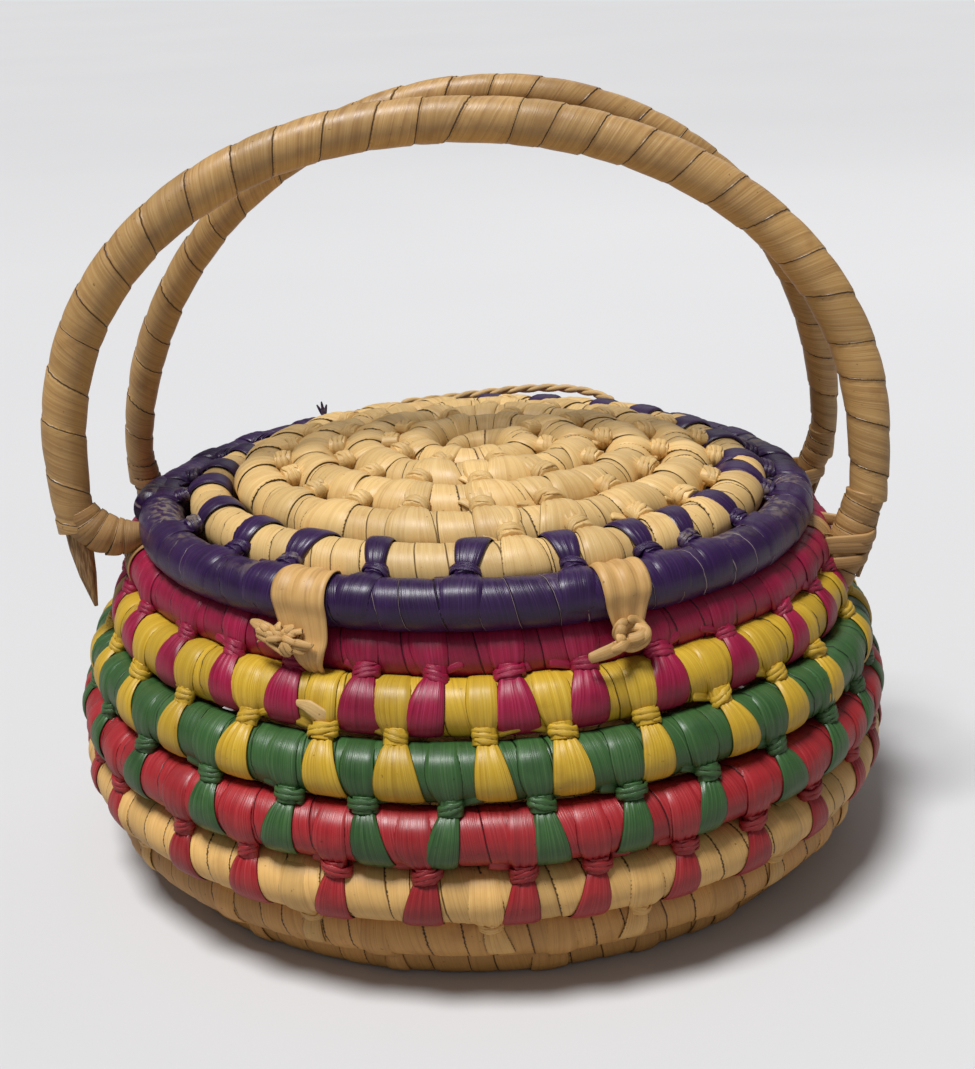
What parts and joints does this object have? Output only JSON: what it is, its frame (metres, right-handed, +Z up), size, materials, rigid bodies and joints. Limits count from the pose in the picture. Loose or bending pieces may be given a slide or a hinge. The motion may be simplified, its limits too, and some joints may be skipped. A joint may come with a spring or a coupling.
{
  "type": "lidded basket",
  "caption": "Round coiled palm-leaf basket with a domed spiral lid hinged on leaf ties, a pull loop and hoop handles that swing apart.",
  "frame": {"origin": "middle of the underside, on the surface that the basket stands on", "axes": "+Z up, the front of the basket with its hinge ties towards -Y, the handles' hinge lines along X"},
  "size_m": [0.2182, 0.216, 0.1997],
  "materials": {
    "leaf_tan": "dry natural palm leaf, pinkish tan",
    "leaf_cream": "dry natural palm leaf, pale cream",
    "leaf_red": "dyed palm leaf, red, slight sheen",
    "leaf_green": "dyed palm leaf, green, slight sheen",
    "leaf_yellow": "dyed palm leaf, yellow",
    "leaf_pink": "dyed palm leaf, magenta pink",
    "leaf_purple": "dyed palm leaf, purple, dusty in its creases",
    "tie_leaf": "dry palm-leaf strip",
    "twisted_cord": "twisted fibre cord",
    "handle_leaf": "wide dry palm-leaf strip, slight sheen",
    "handle_stem": "bundle of dry stems"
  },
  "bodies": {
    "root": {"base_spiral": "leaf_tan", "wall_row_natural_lower": "leaf_tan", "wall_row_natural_upper": "leaf_cream", "wall_row_red": "leaf_red", "wall_row_green": "leaf_green", "wall_row_yellow": "leaf_yellow", "rim_row_pink": "leaf_pink", "hinge_tie_left": "tie_leaf", "hinge_tie_right": "tie_leaf", "handle_lashing_front_right": "tie_leaf", "handle_lashing_front_left": "tie_leaf", "handle_lashing_rear_right": "tie_leaf", "handle_lashing_rear_left": "tie_leaf"},
    "lid": {"lid_spiral": "leaf_cream", "lid_rim_purple": "leaf_purple"},
    "pull_loop": {"lid_pull_loop": "twisted_cord"},
    "handle_front": {"handle_front_core": "handle_stem", "handle_front_wrap": "handle_leaf"},
    "handle_rear": {"handle_rear_core": "handle_stem", "handle_rear_wrap": "handle_leaf"}
  },
  "joints": [
    {"name": "lid_open", "type": "hinge", "parent": "root", "child": "lid", "pos_m": [0, -0.094, 0.09194], "axis": [1, 0, 0], "range_deg": [0, 100], "deforming": ["hinge_tie_left", "hinge_tie_right"]},
    {"name": "handle_front_swing", "type": "hinge", "parent": "root", "child": "handle_front", "pos_m": [0, -0.02, 0.08189], "axis": [1, 0, 0], "range_deg": [0, 110], "deforming": ["handle_lashing_front_right", "handle_lashing_front_left"]},
    {"name": "handle_rear_swing", "type": "hinge", "parent": "root", "child": "handle_rear", "pos_m": [0, 0.038, 0.08189], "axis": [-1, 0, 0], "range_deg": [0, 115], "deforming": ["handle_lashing_rear_right", "handle_lashing_rear_left"]},
    {"name": "pull_loop_lift", "type": "hinge", "parent": "lid", "child": "pull_loop", "pos_m": [0.00631, 0.07831, 0.09465], "axis": [0.997, -0.0778, 0.0016], "range_deg": [0, 85]}
  ],
  "couplings": [
    {"joint": "handle_front_swing", "follows": "lid_open", "ratio": 1.1},
    {"joint": "handle_rear_swing", "follows": "lid_open", "ratio": 1.15}
  ]
}
